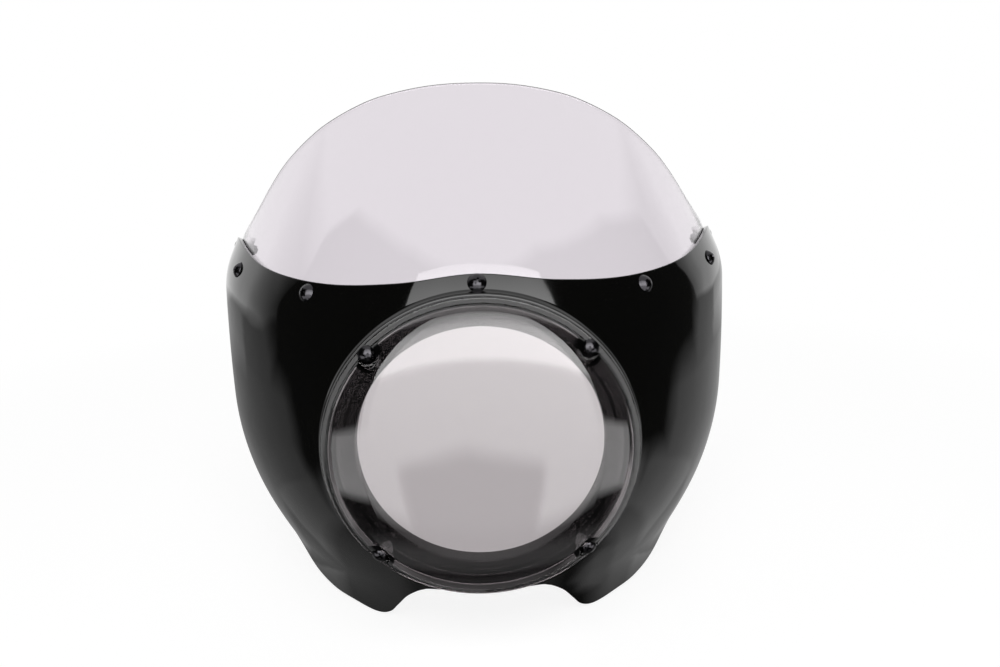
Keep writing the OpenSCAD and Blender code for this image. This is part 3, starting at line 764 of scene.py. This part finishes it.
def makeRoom():
    world = bpy.data.worlds.new("studioRoom")
    world.use_nodes = True
    tree = world.node_tree
    tree.nodes.clear()
    rad = math.radians
    way = addNode(tree, "ShaderNodeTexCoord")
    part = addNode(tree, "ShaderNodeSeparateXYZ", {}, {0: way.outputs["Generated"]})
    ahead = addNode(tree, "ShaderNodeMath", {"operation": "MULTIPLY", 1: -1.0}, {0: part.outputs[1]})
    turn = addNode(tree, "ShaderNodeMath", {"operation": "ARCTAN2"}, {0: part.outputs[0], 1: ahead.outputs[0]}).outputs[0]
    rise = addNode(tree, "ShaderNodeMath", {"operation": "ARCSINE"}, {0: part.outputs[2]}).outputs[0]

    def within(value, low, high, soft):    # 1 between low and high, 0 beyond
        up = addNode(tree, "ShaderNodeMapRange", {"From Min": rad(low - soft), "From Max": rad(low + soft)}, {"Value": value})
        down = addNode(tree, "ShaderNodeMapRange", {"From Min": rad(high + soft), "From Max": rad(high - soft)}, {"Value": value})
        return addNode(tree, "ShaderNodeMath", {"operation": "MULTIPLY"}, {0: up.outputs[0], 1: down.outputs[0]}).outputs[0]

    ramp = addNode(tree, "ShaderNodeValToRGB", {}, {0: addNode(
        tree, "ShaderNodeMapRange", {"From Min": -math.pi, "From Max": math.pi}, {"Value": turn}).outputs[0]})
    stops = ramp.color_ramp.elements
    while len(stops) < len(room["skyEdge"]):
        stops.new(0.5)
    for stop, (az, el) in zip(stops, room["skyEdge"]):
        stop.position = (az + 180) / 360
        stop.color = [(el + 90) / 180] * 3 + [1]
    edge = addNode(tree, "ShaderNodeMapRange", {"To Min": -math.pi / 2, "To Max": math.pi / 2}, {"Value": ramp.outputs[0]})
    over = addNode(tree, "ShaderNodeMath", {"operation": "SUBTRACT"}, {0: rise, 1: edge.outputs[0]})
    sky = addNode(tree, "ShaderNodeMapRange", {"From Min": rad(-2), "From Max": rad(2)}, {"Value": over.outputs[0]})
    sides = []
    for name in ("leftFade", "rightFade"):
        start, end, lowest = room[name]
        dimmed = addNode(tree, "ShaderNodeMapRange", {"From Min": rad(start), "From Max": rad(end), "To Min": lowest}, {"Value": turn})
        sides.append(dimmed.outputs[0])
    atRight = addNode(tree, "ShaderNodeMath", {"operation": "GREATER_THAN", 1: 0.0}, {0: turn})
    level = addNode(tree, "ShaderNodeMix", {"data_type": "FLOAT"}, {0: atRight.outputs[0], 2: sides[0], 3: sides[1]})
    high = addNode(tree, "ShaderNodeMapRange", {"From Min": rad(room["highFade"][0]), "From Max": rad(room["highFade"][1])},
                   {"Value": rise})
    level = addNode(tree, "ShaderNodeMath", {"operation": "MAXIMUM"}, {0: level.outputs[0], 1: high.outputs[0]})
    total = addNode(tree, "ShaderNodeMath", {"operation": "MULTIPLY"}, {0: sky.outputs[0], 1: level.outputs[0]})
    for az0, az1, el0, el1, soft, bright in room["patches"]:
        across, along = within(turn, az0, az1, soft), within(rise, el0, el1, soft)
        patch = addNode(tree, "ShaderNodeMath", {"operation": "MULTIPLY"}, {0: across, 1: along})
        patch = addNode(tree, "ShaderNodeMath", {"operation": "MULTIPLY", 1: bright}, {0: patch.outputs[0]})
        total = addNode(tree, "ShaderNodeMath", {"operation": "MAXIMUM"}, {0: total.outputs[0], 1: patch.outputs[0]})
    gloss = addNode(tree, "ShaderNodeMath", {"operation": "MAXIMUM", 1: room["dark"]}, {0: total.outputs[0]})
    straight, mirrored = seenStraight(tree)
    bounced = addNode(tree, "ShaderNodeMix", {"data_type": "FLOAT", 2: room["fill"]}, {0: mirrored, 3: gloss.outputs[0]})
    strength = addNode(tree, "ShaderNodeMix", {"data_type": "FLOAT", 3: 1.0}, {0: straight, 2: bounced.outputs[0]})
    back = addNode(tree, "ShaderNodeBackground", {"Color": (1, 1, 1, 1)}, {"Strength": strength.outputs[0]})
    addNode(tree, "ShaderNodeOutputWorld", links={"Surface": back.outputs[0]})
    scene.world = world


# Frosted window: soft light, brightest in its upper half and dim at its head and foot
def frostedWindow():
    material, tree = newMaterial("frostedWindow")
    place = addNode(tree, "ShaderNodeTexCoord")
    part = addNode(tree, "ShaderNodeSeparateXYZ", {}, {0: place.outputs["Object"]})
    w, gap = studio["window"], studio["window"]["gap"]
    rise = addNode(tree, "ShaderNodeMapRange", {"From Min": w["low"] * mm, "From Max": w["high"] * mm}, {"Value": part.outputs[2]})
    ramp = addNode(tree, "ShaderNodeValToRGB", {}, {0: rise.outputs[0]})
    stops = ramp.color_ramp.elements
    while len(stops) < len(w["levels"]):
        stops.new(0.5)
    for stop, (height, level) in zip(stops, w["levels"]):
        stop.position = (height - w["low"]) / (w["high"] - w["low"])
        stop.color = [level / w["rampFull"]] * 3 + [1]
    # a little brighter towards the right
    right = addNode(tree, "ShaderNodeMapRange", {"From Min": -0.7, "From Max": 0.8, "To Min": 0.92 * w["rampFull"],
                                                 "To Max": 1.08 * w["rampFull"]}, {"Value": part.outputs[0]})
    level = addNode(tree, "ShaderNodeMath", {"operation": "MULTIPLY"}, {0: ramp.outputs[0], 1: right.outputs[0]})
    shifted = addNode(tree, "ShaderNodeMath", {"operation": "ADD", 1: -gap["middle"] * mm}, {0: part.outputs[0]})
    aside = addNode(tree, "ShaderNodeMath", {"operation": "ABSOLUTE"}, {0: shifted.outputs[0]})
    across = addNode(tree, "ShaderNodeMapRange", {
        "interpolation_type": "SMOOTHSTEP", "From Min": (gap["half"] + gap["soft"]) * mm,
        "From Max": (gap["half"] - gap["soft"]) * mm}, {"Value": aside.outputs[0]})
    crown = addNode(tree, "ShaderNodeMath", {"operation": "MULTIPLY_ADD", 1: gap["slope"]},
                    {0: aside.outputs[0], 2: part.outputs[2]})
    under = addNode(tree, "ShaderNodeMapRange", {
        "interpolation_type": "SMOOTHSTEP", "From Min": (gap["top"] + gap["fade"]) * mm,
        "From Max": (gap["top"] - gap["fade"]) * mm}, {"Value": crown.outputs[0]})
    shade = addNode(tree, "ShaderNodeMath", {"operation": "MULTIPLY"}, {0: across.outputs[0], 1: under.outputs[0]})
    shade = addNode(tree, "ShaderNodeMath", {"operation": "MULTIPLY_ADD", 1: -gap["depth"], 2: 1.0}, {0: shade.outputs[0]})
    level = addNode(tree, "ShaderNodeMath", {"operation": "MULTIPLY"}, {0: level.outputs[0], 1: shade.outputs[0]})
    glow = addNode(tree, "ShaderNodeEmission", {"Color": (1, 1, 1, 1)}, {"Strength": level.outputs[0]})
    clear = addNode(tree, "ShaderNodeBsdfTransparent")
    straight, mirrored = seenStraight(tree)
    finishMaterial(tree, addNode(tree, "ShaderNodeMixShader", {}, {0: straight, 1: glow.outputs[0], 2: clear.outputs[0]}))
    return material


def makeWindow():    # an upright sheet, faced towards the cowl
    w = studio["window"]
    sides = (("left", "low"), ("right", "low"), ("right", "high"), ("left", "high"))
    corners = [(w[x] * mm, -w["ahead"] * mm, w[z] * mm) for x, z in sides]
    mesh = bpy.data.meshes.new("window")
    mesh.from_pydata(corners, [], [(3, 2, 1, 0)])
    mesh.materials.append(frostedWindow())
    window = bpy.data.objects.new("window", mesh)
    window.visible_camera = window.visible_diffuse = window.visible_shadow = False    # only mirrored
    scene.collection.objects.link(window)


def makeSoftbox(place, size, power):    # the plain soft light for matt surfaces and the floor
    data = bpy.data.lights.new("softbox", "AREA")
    data.shape = "RECTANGLE"
    data.size, data.size_y, data.energy = size[0] * mm, size[1] * mm, power
    light = bpy.data.objects.new("softbox", data)
    light.location = Vector(place) * mm
    light.rotation_euler = (Vector((0, 60, 40)) * mm - light.location).to_track_quat("-Z", "Y").to_euler()
    light.visible_camera = light.visible_glossy = light.visible_transmission = False
    scene.collection.objects.link(light)


camera = {
    "target": (12, -10, 73), "distance": 400, "tilt": 15.0, "yaw": -1.8, "roll": -1.2, "focal": 720 / 1000 * 36,
}


def makeCamera():
    e, a, r = (math.radians(camera[k]) for k in ("tilt", "yaw", "roll"))
    back = Vector((math.sin(a) * math.cos(e), -math.cos(a) * math.cos(e), math.sin(e)))
    right = (-back).cross(Vector((0, 0, 1))).normalized()
    up = right.cross(-back)
    right, up = math.cos(r) * right + math.sin(r) * up, -math.sin(r) * right + math.cos(r) * up
    data = bpy.data.cameras.new("photoCamera")
    data.sensor_width, data.lens, data.clip_start, data.clip_end = 36, camera["focal"], 0.01, 50
    eye = bpy.data.objects.new("photoCamera", data)
    turn = Matrix((right, up, back)).transposed().to_4x4()
    spot = (Vector(camera["target"]) + back * camera["distance"]) * mm
    eye.matrix_world = Matrix.Translation(spot) @ turn
    scene.collection.objects.link(eye)
    scene.camera = eye


makeFloor()
makeRoom()
makeWindow()
makeSoftbox(**studio["softbox"])
makeCamera()
scene.view_settings.view_transform = "Standard"
print("studio made")
